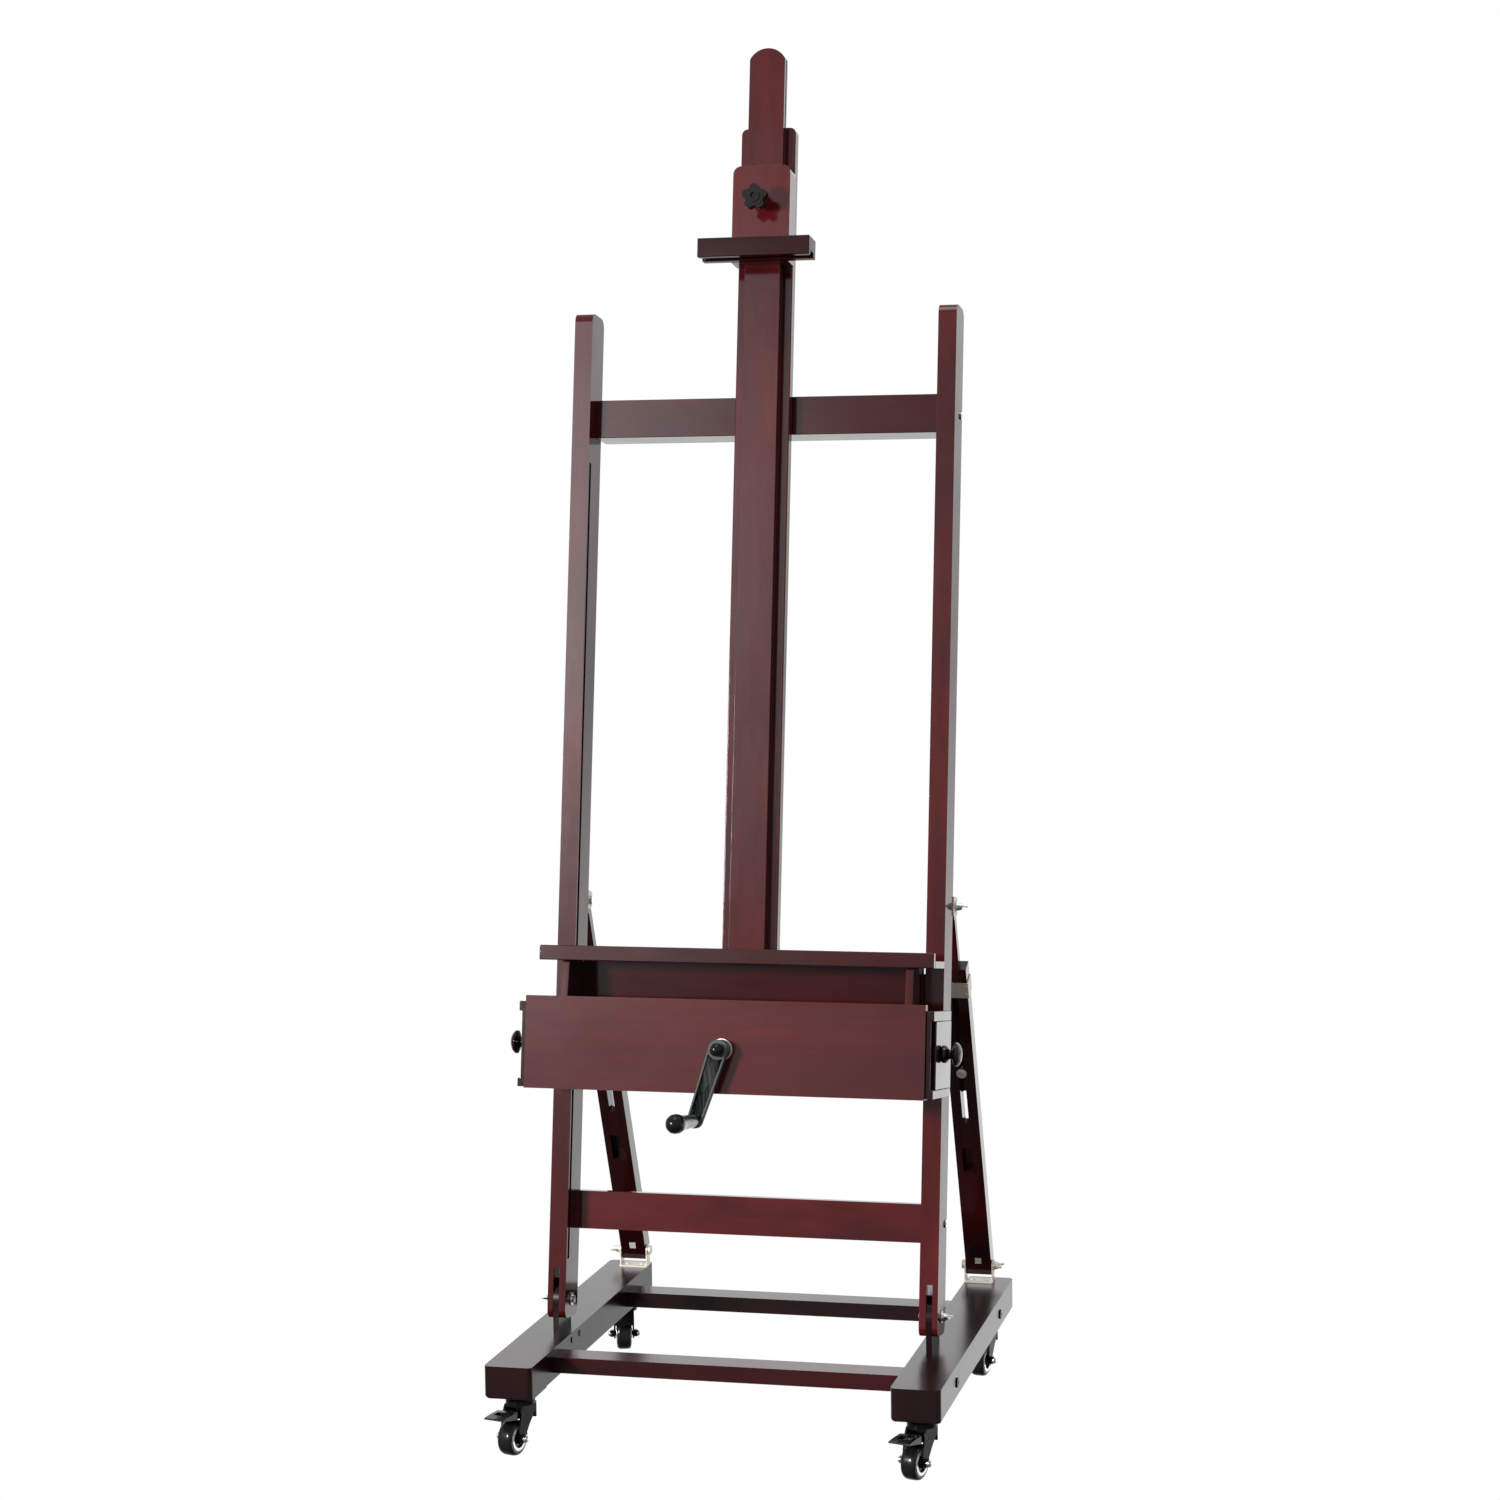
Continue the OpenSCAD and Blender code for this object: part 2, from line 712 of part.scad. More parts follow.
// sliding bar with a tongue in the back board and a groove in each edge
module mast_front_bar() {
  b = bar_x;
  color(wood) fr() difference() {
    union() {
      intersection() {
        blk([-b, -12, bar_top - 31], [b, 6.9, bar_top]);
        cy(-13, 8, 0, bar_top - 30, 30);
      }
      blk([-b, -12, shelf_w + 0.5], [b, 6.9, bar_top - 30]);
      blk([-8, 6.8, shelf_w + 14], [8, 15, 1500]);
    }
    for (x = [-b - 1, b - 3]) blk([x, -4, shelf_w + 300], [x + 4, 0, bar_top + 1]);
  }
}

// block that grips the front bar
module clamp_block() {
  r = 12;
  x = 43;
  w1 = 1709.5;
  color(wood) fr() {
    difference() {
      union() {
        blk([-x, -30, clamp_w], [x, 6.8, w1 - r]);
        blk([-x + r, -30, w1 - r - 1], [x - r, 6.8, w1]);
        for (s = [-1, 1]) cy(-30, 6.8, s * (x - r), w1 - r, r);
      }
      blk([-bar_x - 0.15, -12.15, clamp_w - 1], [bar_x + 0.15, 8, w1 + 1]);
      cy(-31, -11, 0, 1652.7, 4.05);
    }
    for (s = [0, 1]) mirror([s, 0, 0])
      blk([bar_x - 2.8, -3.85, clamp_w], [bar_x + 0.2, -0.15, w1 - r]);
  }
}

// cross bar that holds the top edge of a canvas, grooved underneath
module clamp_bar() {
  r = 2;
  w1 = clamp_w + 28;
  color(wood) fr() difference() {
    union() {
      blk([-83.4, -73, clamp_w], [83.4, -30.05, w1 - r]);
      blk([-83.4, -73 + r, clamp_w], [83.4, -30.05, w1]);
      cx(-83.4, 83.4, -73 + r, w1 - r, r);
    }
    blk([-84, -62, clamp_w - 1], [84, -44, clamp_w + 7]);
  }
}

// five lobed knob on its stud
module clamp_knob() {
  color(black) fr() {
    cy(-72, -12.3, 0, 1652.7, 4);
    difference() {
      union() {
        cy(-76, -60, 0, 1652.7, 14);
        cy(-78, -60, 0, 1652.7, 9);
        cy(-61, -30.3, 0, 1652.7, 8);
        for (k = [0:4]) cy(-75, -61, 12.5 * sin(k * 72), 1652.7 + 12.5 * cos(k * 72), 6.5);
      }
      cy(-80, -74.5, 0, 1652.7, 5);
    }
  }
}

left_foot();
right_foot();
front_base_rail();
rear_base_rail();
hinge_tongues();
base_screws();
foot_brackets();
caster_plates();
caster_fork(0);  // fl_caster_fork
caster_wheel(0);  // fl_caster_wheel
caster_brake(0);  // fl_caster_brake
caster_fork(1);  // fr_caster_fork
caster_wheel(1);  // fr_caster_wheel
caster_brake(1);  // fr_caster_brake
caster_fork(2);  // rl_caster_fork
caster_wheel(2);  // rl_caster_wheel
caster_fork(3);  // rr_caster_fork
caster_wheel(3);  // rr_caster_wheel
left_upright();
right_upright();
upper_crossbar();
lower_crossbar();
crossbar_bolts();
pivot_bolts();
leg_top_brackets();
leg_top_bolts();
lift_rack();
left_leg_lower();
right_leg_lower();
left_leg_clamp();
right_leg_clamp();
left_leg_upper();
right_leg_upper();
front_panel();
case_top();
case_bottom();
carriage_back();
left_end_frame();
right_end_frame();
left_cheek();
right_cheek();
shelf_board();
shelf_lip();
runners();
mast_back_board();
crank_bearing();
crank_shaft();
crank_arm();
crank_cap();
crank_grip();
left_drawer_front();
left_drawer_tray();
right_drawer_front();
right_drawer_tray();
left_drawer_knob();
right_drawer_knob();
mast_front_bar();
clamp_block();
clamp_bar();
clamp_knob();
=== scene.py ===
"""Looks for the studio easel: materials, edge rounding, small fittings, light and camera."""
import json
import math

import bmesh
import bpy
from mathutils import Matrix, Vector


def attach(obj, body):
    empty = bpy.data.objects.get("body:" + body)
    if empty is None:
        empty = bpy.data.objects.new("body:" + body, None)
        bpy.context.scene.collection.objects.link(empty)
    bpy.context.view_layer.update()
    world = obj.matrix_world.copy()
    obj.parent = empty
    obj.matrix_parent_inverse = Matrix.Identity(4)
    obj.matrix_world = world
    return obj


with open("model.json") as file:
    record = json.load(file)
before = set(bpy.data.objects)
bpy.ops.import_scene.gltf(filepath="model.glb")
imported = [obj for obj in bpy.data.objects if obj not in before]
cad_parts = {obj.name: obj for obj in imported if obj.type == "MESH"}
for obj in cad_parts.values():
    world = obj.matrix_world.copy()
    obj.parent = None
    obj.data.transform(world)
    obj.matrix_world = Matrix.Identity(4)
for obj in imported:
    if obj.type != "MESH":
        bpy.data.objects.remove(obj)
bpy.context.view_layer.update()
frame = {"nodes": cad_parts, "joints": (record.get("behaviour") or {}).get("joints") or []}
NODES = frame["nodes"]
CASTERS = ("fl", "fr", "rl", "rr")

LEAN = math.radians(8.5)    # the H frame leans back
LEG = math.radians(23.43)   # the rear legs lean forward
CLEAR = (1, 1, 1, 1)
WARM = (1.0, 0.92, 0.90, 1)
MM = 0.001

# ---------- node helpers ----------


class Graph:
    """A node tree with short calls for making and joining nodes."""

    def __init__(self, tree):
        self.tree = tree
        tree.nodes.clear()

    def add(self, kind, props=None, **inputs):
        n = self.tree.nodes.new(kind)
        for k, v in (props or {}).items():
            setattr(n, k, v)
        for k, v in inputs.items():
            self.put(n, k, v)
        return n

    def put(self, n, key, v):
        key = key.replace("_", " ")
        sock = n.inputs[int(key[1:])] if key[0] == "i" and key[1:].isdigit() else n.inputs[key]
        if isinstance(v, bpy.types.NodeSocket):
            self.tree.links.new(v, sock)
        elif isinstance(v, bpy.types.Node):
            self.tree.links.new(v.outputs[0], sock)
        else:
            sock.default_value = v

    def math(self, op, a, b=0.0, c=0.0, clamp=False):
        return self.add("ShaderNodeMath", {"operation": op, "use_clamp": clamp}, i0=a, i1=b, i2=c).outputs[0]

    def mix(self, fac, a, b, mode="MIX"):
        n = self.add("ShaderNodeMix", {"data_type": "RGBA", "blend_type": mode})
        self.put(n, "i0", fac)
        self.put(n, "i6", a)
        self.put(n, "i7", b)
        return n.outputs[2]

    def ramp(self, fac, *stops, interp="LINEAR"):
        n = self.add("ShaderNodeValToRGB", i0=fac)
        e = n.color_ramp.elements
        n.color_ramp.interpolation = interp
        while len(e) < len(stops):
            e.new(0.5)
        for el, (pos, col) in zip(e, stops):
            el.position = pos
            el.color = col if isinstance(col, tuple) else (col, col, col, 1)
        return n.outputs[0]

    def noise(self, vec, scale, detail=3.0, rough=0.55, distortion=0.0):
        return self.add("ShaderNodeTexNoise", Vector=vec, Scale=scale, Detail=detail,
                        Roughness=rough, Distortion=distortion).outputs[0]

    def scaled(self, vec, s):
        return self.add("ShaderNodeMapping", Vector=vec, Scale=s).outputs[0]


def new_material(name):
    m = bpy.data.materials.new(name)
    m.use_nodes = True
    g = Graph(m.node_tree)
    out = g.add("ShaderNodeOutputMaterial")
    bsdf = g.add("ShaderNodeBsdfPrincipled")
    g.put(out, "Surface", bsdf)
    return m, g, bsdf


def edge_mask(g, radius):
    """1 on outside edges, 0 on flats."""
    bev = g.add("ShaderNodeBevel", {"samples": 4}, Radius=radius)
    geo = g.add("ShaderNodeNewGeometry")
    dot = g.add("ShaderNodeVectorMath", {"operation": "DOT_PRODUCT"}, i0=bev.outputs[0], i1=geo.outputs["Normal"])
    return g.math("MULTIPLY", g.math("SUBTRACT", 1.0, dot.outputs["Value"]), 5.0, clamp=True)


def board_coords(g, turn, grain, shift):
    """Object coordinates turned into the board's own frame, grain direction first."""
    co = g.add("ShaderNodeTexCoord").outputs["Object"]
    mp = g.add("ShaderNodeMapping", Vector=co, Rotation=(turn, 0, 0), Location=shift)
    sep = g.add("ShaderNodeSeparateXYZ", i0=mp)
    order = {"x": (0, 1, 2), "y": (1, 0, 2), "z": (2, 0, 1)}[grain]
    return g.add("ShaderNodeCombineXYZ", i0=sep.outputs[order[0]], i1=sep.outputs[order[1]],
                 i2=sep.outputs[order[2]]).outputs[0]


def wood(name, turn, grain, seed, tone=1.0, red=1.0, gloss=1.0, side=0.0, haze=0.07, blotch=0.0,
         pale=0.0):
    """Stained and lacquered beech: soft growth figure, streaks, pore flecks and a clear coat.

    tone and red scale the stain, pale lifts its green and blue as a painted sheen, blotch is the
    depth of the cloudy patches, gloss and haze belong to the coat, and side takes gloss off faces that look along
    X.
    """
    m, g, b = new_material(name)
    shift = (0.37 * seed % 5.1, 0.61 * seed % 3.7, 0.23 * seed % 2.9)
    v = board_coords(g, turn, grain, shift)
    drift = g.noise(g.scaled(v, (2.2, 11, 11)), 1.0, 3, 0.5)
    fig = g.add("ShaderNodeTexWave", {"wave_type": "RINGS", "rings_direction": "X", "wave_profile": "SAW"},
                Vector=g.scaled(v, (0.35, 1.0, 1.0)), Scale=14.0, Distortion=9.0, Detail=2.0,
                **{"Detail_Scale": 1.2, "Detail_Roughness": 0.45}).outputs["Fac"]
    streak = g.noise(g.scaled(v, (5, 160, 160)), 1.0, 4, 0.6)
    fine = g.noise(g.scaled(v, (26, 900, 900)), 1.0, 2, 0.5)
    fleck = g.ramp(g.noise(g.scaled(v, (150, 1100, 1100)), 1.0, 1, 0.4), (0.60, 0.0), (0.70, 1.0))
    t = g.math("MULTIPLY_ADD", drift, 0.50, 0.13)
    t = g.math("ADD", t, g.math("MULTIPLY", fig, 0.04))
    t = g.math("ADD", t, g.math("MULTIPLY", streak, 0.12))
    t = g.math("ADD", t, g.math("MULTIPLY", fine, 0.08))
    if blotch:
        cloud = g.noise(g.scaled(v, (7, 26, 26)), 1.0, 3, 0.5)
        t = g.math("ADD", t, g.math("MULTIPLY", g.math("SUBTRACT", cloud, 0.5), blotch))

    # pale is a painted sheen: it lifts green and blue, and red a little, in place of a stronger neutral reflection
    def c(r, gr, bl):
        return (r * tone * red + pale * 0.4, gr * tone + pale, bl * tone + pale, 1)

    col = g.ramp(t, (0.34, c(0.050, 0.0045, 0.0062)), (0.50, c(0.088, 0.0062, 0.0080)),
                 (0.62, c(0.110, 0.0080, 0.0100)), (0.78, c(0.165, 0.0150, 0.0160)))
    col = g.mix(g.math("MULTIPLY", fleck, 0.22), col, c(0.045, 0.006, 0.008))
    # painted highlight: every outside edge is mixed a quarter of the way towards a lighter stain colour
    edge = edge_mask(g, 0.0018)
    col = g.mix(g.math("MULTIPLY", edge, 0.25), col, c(0.16, 0.030, 0.030))
    g.put(b, "Base_Color", col)
    g.put(b, "Roughness", 0.5)
    g.put(b, "Specular_IOR_Level", 0.0)
    along_x = g.add("ShaderNodeSeparateXYZ", i0=g.add("ShaderNodeNewGeometry").outputs["Normal"]).outputs[0]
    less = g.math("MULTIPLY", g.math("ABSOLUTE", along_x), side)
    smudge = g.noise(v, 11.0, 3, 0.6)
    shine = g.math("MULTIPLY", g.math("SUBTRACT", 1.0, less), gloss)
    g.put(b, "Coat_Weight", g.math("MULTIPLY", shine, g.math("ADD", 0.84, g.math("MULTIPLY", smudge, 0.30))))
    g.put(b, "Coat_Roughness", g.math("ADD", haze, g.math("MULTIPLY", smudge, 0.08)))
    g.put(b, "Coat_IOR", 1.5)
    g.put(b, "Coat_Tint", WARM if turn == 0 else CLEAR)
    peel = g.noise(v, 420.0, 2, 0.5)
    wave = g.noise(g.scaled(v, (9, 40, 40)), 1.0, 2, 0.5)
    h = g.math("ADD", g.math("MULTIPLY", fine, 0.25), g.math("MULTIPLY", peel, 0.12))
    h = g.math("ADD", h, g.math("MULTIPLY", wave, 0.9))
    g.put(b, "Normal", g.add("ShaderNodeBump", Strength=0.22, Distance=0.0006, Height=h))
    g.put(b, "Coat_Normal", g.add("ShaderNodeBump", Strength=0.09, Distance=0.0006, Height=h))
    return m


def metal(name, colour, rough, brushed=0.0, dirt=0.25, metallic=1.0):
    """Plated or bare steel with fine brushing, cloudy plating and dark spots."""
    m, g, b = new_material(name)
    co = g.add("ShaderNodeTexCoord").outputs["Object"]
    cloud = g.noise(co, 90.0, 4, 0.6)
    lines = g.noise(g.scaled(co, (900, 60, 60)), 1.0, 3, 0.5)
    spots = g.ramp(g.noise(co, 600.0, 2, 0.5), (0.58, 0.0), (0.72, 1.0))
    dark = tuple(x * 0.55 for x in colour[:3]) + (1,)
    col = g.mix(g.math("MULTIPLY", cloud, dirt), colour, dark)
    col = g.mix(g.math("MULTIPLY", spots, 0.18), col, dark)
    g.put(b, "Base_Color", col)
    g.put(b, "Metallic", metallic)
    r = g.math("ADD", rough, g.math("MULTIPLY", cloud, 0.18))
    g.put(b, "Roughness", g.math("ADD", r, g.math("MULTIPLY", lines, brushed)))
    h = g.math("ADD", g.math("MULTIPLY", lines, 0.6), g.math("MULTIPLY", cloud, 0.4))
    g.put(b, "Normal", g.add("ShaderNodeBump", Strength=0.15, Distance=0.0003, Height=h))
    return m


def coated(name, colour, rough, coat, peel, bump, worn=(0.05, 0.05, 0.05, 1), specular=0.12):
    """Painted metal or moulded plastic: orange peel, paler cloudy patches, paler rubbed edges."""
    m, g, b = new_material(name)
    co = g.add("ShaderNodeTexCoord").outputs["Object"]
    grain = g.noise(co, peel, 3, 0.55)
    blot = g.noise(co, 55.0, 4, 0.6)
    edge = edge_mask(g, 0.0009)
    rub = g.math("MULTIPLY", edge, g.ramp(blot, (0.42, 0.0), (0.62, 1.0)))
    lift = tuple(min(1.0, x * 1.7 + 0.004) for x in colour[:3]) + (1,)
    col = g.mix(g.math("MULTIPLY", blot, 0.5), colour, lift)
    col = g.mix(g.math("MULTIPLY", rub, 0.3), col, worn)
    g.put(b, "Base_Color", col)
    g.put(b, "Roughness", g.math("ADD", rough, g.math("MULTIPLY", blot, 0.14)))
    g.put(b, "Specular_IOR_Level", specular)
    g.put(b, "Coat_Weight", coat)
    g.put(b, "Coat_Roughness", g.math("ADD", 0.04, g.math("MULTIPLY", blot, 0.08)))
    g.put(b, "Normal", g.add("ShaderNodeBump", Strength=bump, Distance=0.0004, Height=grain))
    return m, g, b, col


# ---------- shaping of the carried over parts ----------


def smooth_group():
    """Geometry nodes: smooth shading except across edges sharper than 38 degrees."""
    t = bpy.data.node_groups.new("smooth_by_angle", "GeometryNodeTree")
    t.interface.new_socket("Geometry", in_out="INPUT", socket_type="NodeSocketGeometry")
    t.interface.new_socket("Geometry", in_out="OUTPUT", socket_type="NodeSocketGeometry")
    gi, go = t.nodes.new("NodeGroupInput"), t.nodes.new("NodeGroupOutput")
    face = t.nodes.new("GeometryNodeSetShadeSmooth")
    edge = t.nodes.new("GeometryNodeSetShadeSmooth")
    edge.domain = "EDGE"
    edge.inputs["Shade Smooth"].default_value = False
    ang = t.nodes.new("GeometryNodeInputMeshEdgeAngle")
    cmp = t.nodes.new("FunctionNodeCompare")
    cmp.data_type = "FLOAT"
    cmp.operation = "GREATER_THAN"
    cmp.inputs[1].default_value = math.radians(38)
    t.links.new(gi.outputs[0], face.inputs["Geometry"])
    t.links.new(face.outputs[0], edge.inputs["Geometry"])
    t.links.new(ang.outputs["Unsigned Angle"], cmp.inputs[0])
    t.links.new(cmp.outputs[0], edge.inputs["Selection"])
    t.links.new(edge.outputs[0], go.inputs[0])
    return t


SMOOTH = smooth_group()


def finish_shape(o, width, segments=3, angle=32, weld=True):
    """Weld, merge flat triangles, round the edges and set smooth shading, all as modifiers."""
    if weld:
        w = o.modifiers.new("weld", "WELD")
        w.merge_threshold = 1e-5
        d = o.modifiers.new("flats", "DECIMATE")
        d.decimate_type = "DISSOLVE"
        d.angle_limit = math.radians(0.6)
    if width:
        v = o.modifiers.new("edges", "BEVEL")
        v.width = width
        v.segments = segments
        v.limit_method = "ANGLE"
        v.angle_limit = math.radians(angle)
        v.use_clamp_overlap = True
        v.miter_outer = "MITER_ARC"
    s = o.modifiers.new("smooth", "NODES")
    s.node_group = SMOOTH
    if width:
        n = o.modifiers.new("normals", "WEIGHTED_NORMAL")
        n.keep_sharp = True
        n.weight = 80


def paint(name, material, width, **kw):
    o = NODES[name]
    if not o.material_slots:
        o.data.materials.append(material)
    for s in o.material_slots:
        s.link = "OBJECT"
        s.material = material
    finish_shape(o, width, **kw)


# ---------- wood parts ----------
F, L, B = LEAN, -LEG, 0.0  # turn of the board frame: H frame, rear legs, base
# name: (turn, grain, tone, redness, edge radius, gloss, loss of gloss on side faces)
WOOD = {
    "left_foot": (B, "y", 0.15, 1.0, 0.0042, 0.88, 0.42), "right_foot": (B, "y", 0.14, 1.0, 0.0042, 0.92, 0.12),
    "hinge_tongues": (B, "z", 0.12, 0.9, 0.0008, 0.7, 0.3),
    "front_base_rail": (B, "x", 0.48, 1.0, 0.0016, 1.0, 0.0),
    "rear_base_rail": (B, "x", 0.16, 0.9, 0.0016, 1.0, 0.0),
    "left_upright": (F, "z", 0.70, 1.0, 0.002, 1.0, 0.28), "right_upright": (F, "z", 0.85, 1.1, 0.002, 1.0, 0.36),
    "upper_crossbar": (F, "x", 0.5, 0.9, 0.0018, 0.88, 0.0),
    "lower_crossbar": (F, "x", 1.1, 1.05, 0.0018, 1.0, 0.0),
    "front_panel": (F, "x", 0.90, 0.95, 0.0014, 1.0, 0.3), "case_top": (F, "x", 0.8, 1.0, 0.001, 1.0, 0.0),
    "case_bottom": (F, "x", 0.8, 1.0, 0.001, 1.0, 0.0), "carriage_back": (F, "x", 0.55, 1.0, 0.001, 0.5, 0.0),
    "left_end_frame": (F, "y", 0.2, 0.9, 0.0012, 1.0, 0.0), "right_end_frame": (F, "y", 0.2, 0.9, 0.0012, 1.0, 0.0),
    "left_cheek": (F, "z", 0.6, 1.0, 0.001, 1.0, 0.0), "right_cheek": (F, "z", 0.6, 1.0, 0.001, 1.0, 0.0),
    "shelf_board": (F, "x", 0.7, 1.0, 0.001, 1.0, 0.0), "shelf_lip": (F, "x", 0.5, 0.95, 0.0014, 1.0, 0.0),
    "mast_back_board": (F, "z", 0.78, 1.0, 0.0016, 0.86, 0.0),
    "mast_front_bar": (F, "z", 0.76, 1.0, 0.0016, 0.94, 0.0),
    "clamp_block": (F, "z", 0.9, 1.0, 0.001, 1.0, 0.0), "clamp_bar": (F, "x", 0.30, 0.8, 0.0012, 0.5, 0.0),
    "left_drawer_front": (F, "y", 0.3, 0.9, 0.0012, 1.0, 0.0),
    "right_drawer_front": (F, "y", 0.3, 0.9, 0.0012, 1.0, 0.0),
    "left_drawer_tray": (F, "y", 1.3, 0.8, 0.0006, 0.5, 0.0),
    "right_drawer_tray": (F, "y", 1.3, 0.8, 0.0006, 0.5, 0.0),
    "left_drawer_knob": (F, "x", 0.14, 0.9, 0.0003, 1.0, 0.0),
    "right_drawer_knob": (F, "x", 0.14, 0.9, 0.0003, 1.0, 0.0),
    "left_leg_lower": (L, "z", 0.22, 1.0, 0.0015, 1.0, 0.0),
    "right_leg_lower": (L, "z", 0.34, 1.0, 0.0015, 1.0, 0.0),
    "left_leg_upper": (L, "z", 0.22, 1.0, 0.0012, 1.0, 0.0),
    "right_leg_upper": (L, "z", 0.45, 1.0, 0.0012, 1.0, 0.0),
    "runners": (F, "z", 0.2, 0.9, 0.0006, 0.6, 0.0),
}
BLOTCH = {"left_upright": 0.60, "right_upright": 0.55, "lower_crossbar": 0.60, "upper_crossbar": 0.50,
          "mast_front_bar": 0.45, "mast_back_board": 0.40, "front_panel": 0.16}
# painted sheen on the front panel: its green and blue are lifted to stand in for reflection
PAINTED_SHEEN = {"front_panel": 0.009}
WIDE_EDGE = 0.004
for seed, (name, (turn, grain, tone, red, width, gloss, side)) in enumerate(WOOD.items(), start=3):
    haze = 0.20 if turn == B else 0.07
    board = wood("wood_" + name, turn, grain, seed, tone, red, gloss, side, haze,
                 BLOTCH.get(name, 0.22), PAINTED_SHEEN.get(name, 0.0))
    paint(name, board, width, segments=4 if width > WIDE_EDGE else 3)

# ---------- metal and plastic ----------
# the zinc is near-white and mostly non-metallic: partly the pale plating, partly a painted reflection that keeps
# the fittings bright where little light reaches them
ZINC = metal("zinc_plate", (0.97, 0.91, 0.80, 1), 0.30, 0.10, 0.25, 0.30)
PLATE = metal("bright_plate", (0.95, 0.86, 0.80, 1), 0.30, 0.08, 0.12, 0.35)
STEEL = metal("plain_steel", (0.46, 0.45, 0.43, 1), 0.30, 0.16)
CHROME = metal("bright_nut", (0.82, 0.82, 0.82, 1), 0.10, 0.04, 0.12)
BLACK = coated("black_enamel", (0.006, 0.006, 0.007, 1), 0.22, 0.08, 500.0, 0.12, specular=0.05)[0]
PLASTIC = coated("black_plastic", (0.006, 0.006, 0.007, 1), 0.16, 0.3, 260.0, 0.06, (0.04, 0.04, 0.04, 1))[0]
ARM = coated("arm_paint", (0.085, 0.095, 0.092, 1), 0.55, 0.05, 700.0, 0.08, (0.16, 0.17, 0.16, 1))[0]

for n in ("foot_brackets", "left_leg_clamp", "right_leg_clamp", "leg_top_brackets"):
    paint(n, ZINC, 0.0004, segments=2)
for n in ("crank_bearing", "crank_shaft"):
    paint(n, PLATE, 0.0004, segments=2)
for n in ("leg_top_bolts", "pivot_bolts", "crossbar_bolts"):
    paint(n, CHROME, 0.0004, segments=2)
paint("lift_rack", STEEL, 0.0)
paint("base_screws", BLACK, 0.0004, segments=2)
paint("caster_plates", BLACK, 0.0006, segments=2)
for k in CASTERS:
    paint(k + "_caster_fork", BLACK, 0.0006, segments=2)
for n in ("fl_caster_brake", "fr_caster_brake"):
    paint(n, PLASTIC, 0.0008, segments=2)
paint("crank_arm", ARM, 0.0007, segments=2)
for n in ("crank_cap", "crank_grip"):
    paint(n, PLASTIC, 0.0005, segments=2)
paint("clamp_knob", PLASTIC, 0.0012, segments=3)


def wheel_material(name, joint):
    """Glossy tread with a pale ring set in the side of the wheel."""
    m, g, b, col = coated(name, (0.008, 0.008, 0.009, 1), 0.20, 0.5, 300.0, 0.05)
    co = g.add("ShaderNodeTexCoord").outputs["Object"]
    rel = g.add("ShaderNodeVectorMath", {"operation": "SUBTRACT"}, i0=co, i1=tuple(joint["pos_m"])).outputs[0]
    cr = g.add("ShaderNodeVectorMath", {"operation": "CROSS_PRODUCT"}, i0=rel, i1=tuple(joint["axis"])).outputs[0]
    rad = g.add("ShaderNodeVectorMath", {"operation": "LENGTH"}, i0=cr).outputs["Value"]
    ring = g.ramp(g.math("MULTIPLY", rad, 40.0), (0.545, 0.0), (0.555, 1.0), (0.725, 1.0), (0.735, 0.0))
    g.put(b, "Base_Color", g.mix(ring, col, (0.95, 0.95, 0.94, 1)))
    g.put(b, "Metallic", g.math("MULTIPLY", ring, 0.75))
    return m


joints = {j["name"]: j for j in frame["joints"]}
for k in CASTERS:
    paint(k + "_caster_wheel", wheel_material("wheel_" + k, joints[k + "_roll"]), 0.0006, segments=2)


# ---------- small fittings the drawing leaves out ----------


def turned(name, body, at, axis, profile, material, sides=40):
    """A small turned piece: (distance along the axis, radius) pairs swept round the axis, in mm."""
    mesh = bpy.data.meshes.new(name)
    t = bmesh.new()
    z = Vector(axis).normalized()
    x = z.orthogonal().normalized()
    y = z.cross(x)
    rings = []
    for h, rad in profile:
        ring = []
        for i in range(sides):
            a = 2 * math.pi * i / sides
            p = Vector(at) + z * h * MM + (x * math.cos(a) + y * math.sin(a)) * max(rad, 0.01) * MM
            ring.append(t.verts.new(p))
        rings.append(ring)
    for r0, r1 in zip(rings, rings[1:]):
        for i in range(sides):
            k = (i + 1) % sides
            t.faces.new((r0[i], r0[k], r1[k], r1[i]))
    t.faces.new(list(reversed(rings[0])))
    t.faces.new(rings[-1])
    bmesh.ops.recalc_face_normals(t, faces=t.faces)
    t.to_mesh(mesh)
    t.free()
    o = bpy.data.objects.new(name, mesh)
    bpy.context.collection.objects.link(o)
    mesh.materials.append(material)
    s = o.modifiers.new("smooth", "NODES")
    s.node_group = SMOOTH
    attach(o, body)
    return o


NUT = ((0, 5.6), (2.2, 5.6), (2.6, 4.6), (3.6, 4.4), (4.6, 3.4), (5.2, 1.6))
NUT_SEAT = 20.2 * MM  # from the middle of the wheel to the nut, along the axle
for k in CASTERS:
    roll = joints[k + "_roll"]
    axle = Vector(roll["axis"])
    for side, tag in ((1, "a"), (-1, "b")):
        seat = Vector(roll["pos_m"]) + axle * side * NUT_SEAT
        turned(k + "_axle_nut_" + tag, k + "_fork", seat, axle * side, NUT, CHROME)

# ---------- stage, light, camera ----------
floor_mesh = bpy.data.meshes.new("floor")
bm = bmesh.new()
bmesh.ops.create_grid(bm, x_segments=8, y_segments=8, size=30)
bm.to_mesh(floor_mesh)
floor = bpy.data.objects.new("floor", floor_mesh)
bpy.context.collection.objects.link(floor)
# a blown out white sweep to the camera, and nothing to the other rays
fm = bpy.data.materials.new("white_sweep")
fm.use_nodes = True
fg = Graph(fm.node_tree)
fout = fg.add("ShaderNodeOutputMaterial")
fpath = fg.add("ShaderNodeLightPath")
fg.put(fout, "Surface", fg.add("ShaderNodeMixShader", i0=fpath.outputs["Is Camera Ray"],
                               i1=fg.add("ShaderNodeBsdfTransparent"),
                               i2=fg.add("ShaderNodeEmission", Color=(1, 1, 1, 1), Strength=1.0)))
floor.data.materials.append(fm)

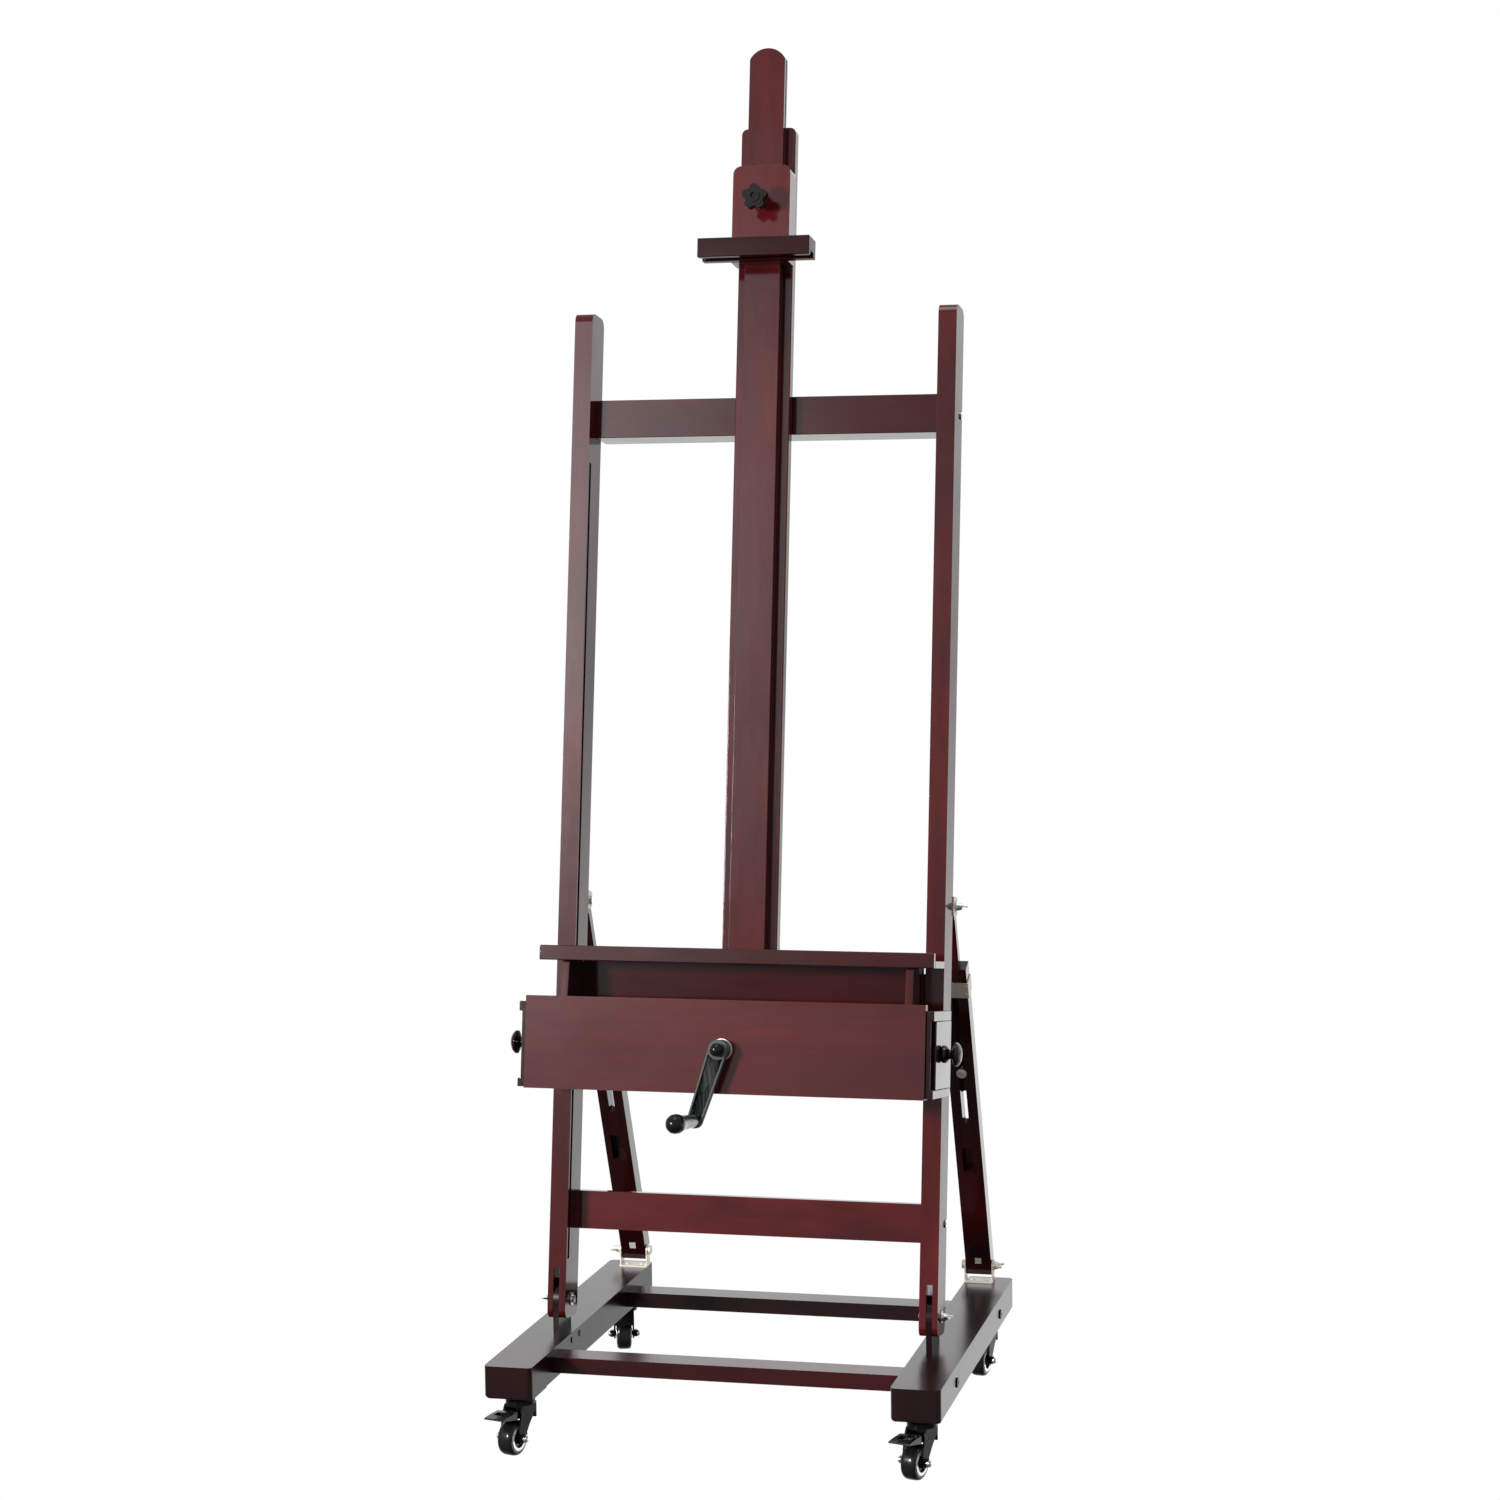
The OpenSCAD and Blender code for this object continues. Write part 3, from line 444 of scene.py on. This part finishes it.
scene = bpy.context.scene
world = bpy.data.worlds.new("studio")
scene.world = world
world.use_nodes = True
wg = Graph(world.node_tree)
wout = wg.add("ShaderNodeOutputWorld")
way = wg.add("ShaderNodeTexCoord").outputs["Generated"]
sep = wg.add("ShaderNodeSeparateXYZ", i0=way)


def along(vec):
    """Component of the ray direction along a fixed direction."""
    return wg.add("ShaderNodeVectorMath", {"operation": "DOT_PRODUCT"}, i0=way, i1=vec).outputs["Value"]


def glow(az, el, half_az, half_el, peak):
    """A soft bright patch left of the camera axis, seen in shiny faces."""
    sa, ca, se, ce = (f(math.radians(x)) for x in (az, el) for f in (math.sin, math.cos))
    p1, p2, p3 = along((-ca, sa, 0)), along((sa * se, ca * se, ce)), along((-sa * ce, -ca * ce, se))
    q = wg.math("MULTIPLY", wg.math("MULTIPLY", p1, p1), -0.5 / math.sin(math.radians(half_az)) ** 2)
    q = wg.math("MULTIPLY_ADD", wg.math("MULTIPLY", p2, p2), -0.5 / math.sin(math.radians(half_el)) ** 2, q)
    return wg.math("MULTIPLY", wg.math("MULTIPLY", wg.math("EXPONENT", q), peak), wg.math("GREATER_THAN", p3, 0.0))


# shiny faces: bright backdrop behind, dim room in front, one soft patch front left
height = wg.math("MULTIPLY_ADD", sep.outputs[2], 0.5, 0.5)
behind = wg.ramp(height, (0.0, 0.25), (0.30, 0.8), (0.36, 1.5), (0.43, 1.4), (0.475, 0.85), (0.50, 1.0),
                 (0.53, 1.35), (0.635, 1.5), (0.80, 1.0), (1.0, 0.5))
ahead = wg.ramp(height, (0.0, 0.04), (0.15, 0.12), (0.37, 0.26), (0.47, 0.34), (0.55, 0.42), (1.0, 0.4))
facing = wg.ramp(wg.math("MULTIPLY_ADD", sep.outputs[1], 0.5, 0.5), (0.58, 0.0), (0.86, 1.0))
shiny = wg.mix(facing, ahead, behind)
shiny = wg.math("ADD", shiny, glow(20, 15.5, 3.4, 4.5, 5.0))
# matt faces: even room light from above and in front, little from the floor
room = wg.ramp(height, (0.0, 0.08), (0.45, 0.16), (0.55, 0.34), (1.0, 0.50))
path = wg.add("ShaderNodeLightPath")
lit = wg.mix(path.outputs["Is Glossy Ray"], room, shiny)
lit = wg.mix(path.outputs["Is Camera Ray"], lit, (1, 1, 1, 1))
wg.put(wout, "Surface", wg.add("ShaderNodeBackground", Color=lit, Strength=1.0))


def softbox(name, at, look, w, h, watts, colour=(1, 1, 1)):
    d = bpy.data.lights.new(name, "AREA")
    d.shape = "RECTANGLE"
    d.size, d.size_y, d.energy, d.color = w, h, watts, colour
    o = bpy.data.objects.new(name, d)
    o.location = at
    o.rotation_euler = (Vector(look) - Vector(at)).to_track_quat("-Z", "Y").to_euler()
    bpy.context.collection.objects.link(o)
    return o


softbox("key", (-2.5, -4.0, 1.75), (0, 0, 0.7), 0.7, 0.7, 215)
softbox("top", (0.2, -0.6, 4.2), (0, 0, 0.6), 2.0, 2.0, 40)

a, e, r = math.radians(13.20), math.radians(4.17), math.radians(-0.62)
d = Vector((-math.sin(a) * math.cos(e), math.cos(a) * math.cos(e), -math.sin(e)))
right = Vector((math.cos(a), math.sin(a), 0))
up0 = right.cross(d)
r2 = right * math.cos(r) + up0 * math.sin(r)
u2 = r2.cross(d)
cam_data = bpy.data.cameras.new("camera")
cam_data.sensor_width = 36
cam_data.lens = 73.29
cam_data.shift_x = -0.02408
cam_data.shift_y = -0.00205
cam_data.clip_end = 100
cam = bpy.data.objects.new("camera", cam_data)
cam.matrix_world = Matrix((
    (r2.x, u2.x, -d.x, 1.05696), (r2.y, u2.y, -d.y, -4.3087), (r2.z, u2.z, -d.z, 1.30565), (0, 0, 0, 1)))
bpy.context.collection.objects.link(cam)
scene.camera = cam
scene.view_settings.view_transform = "Standard"
scene.view_settings.look = "None"
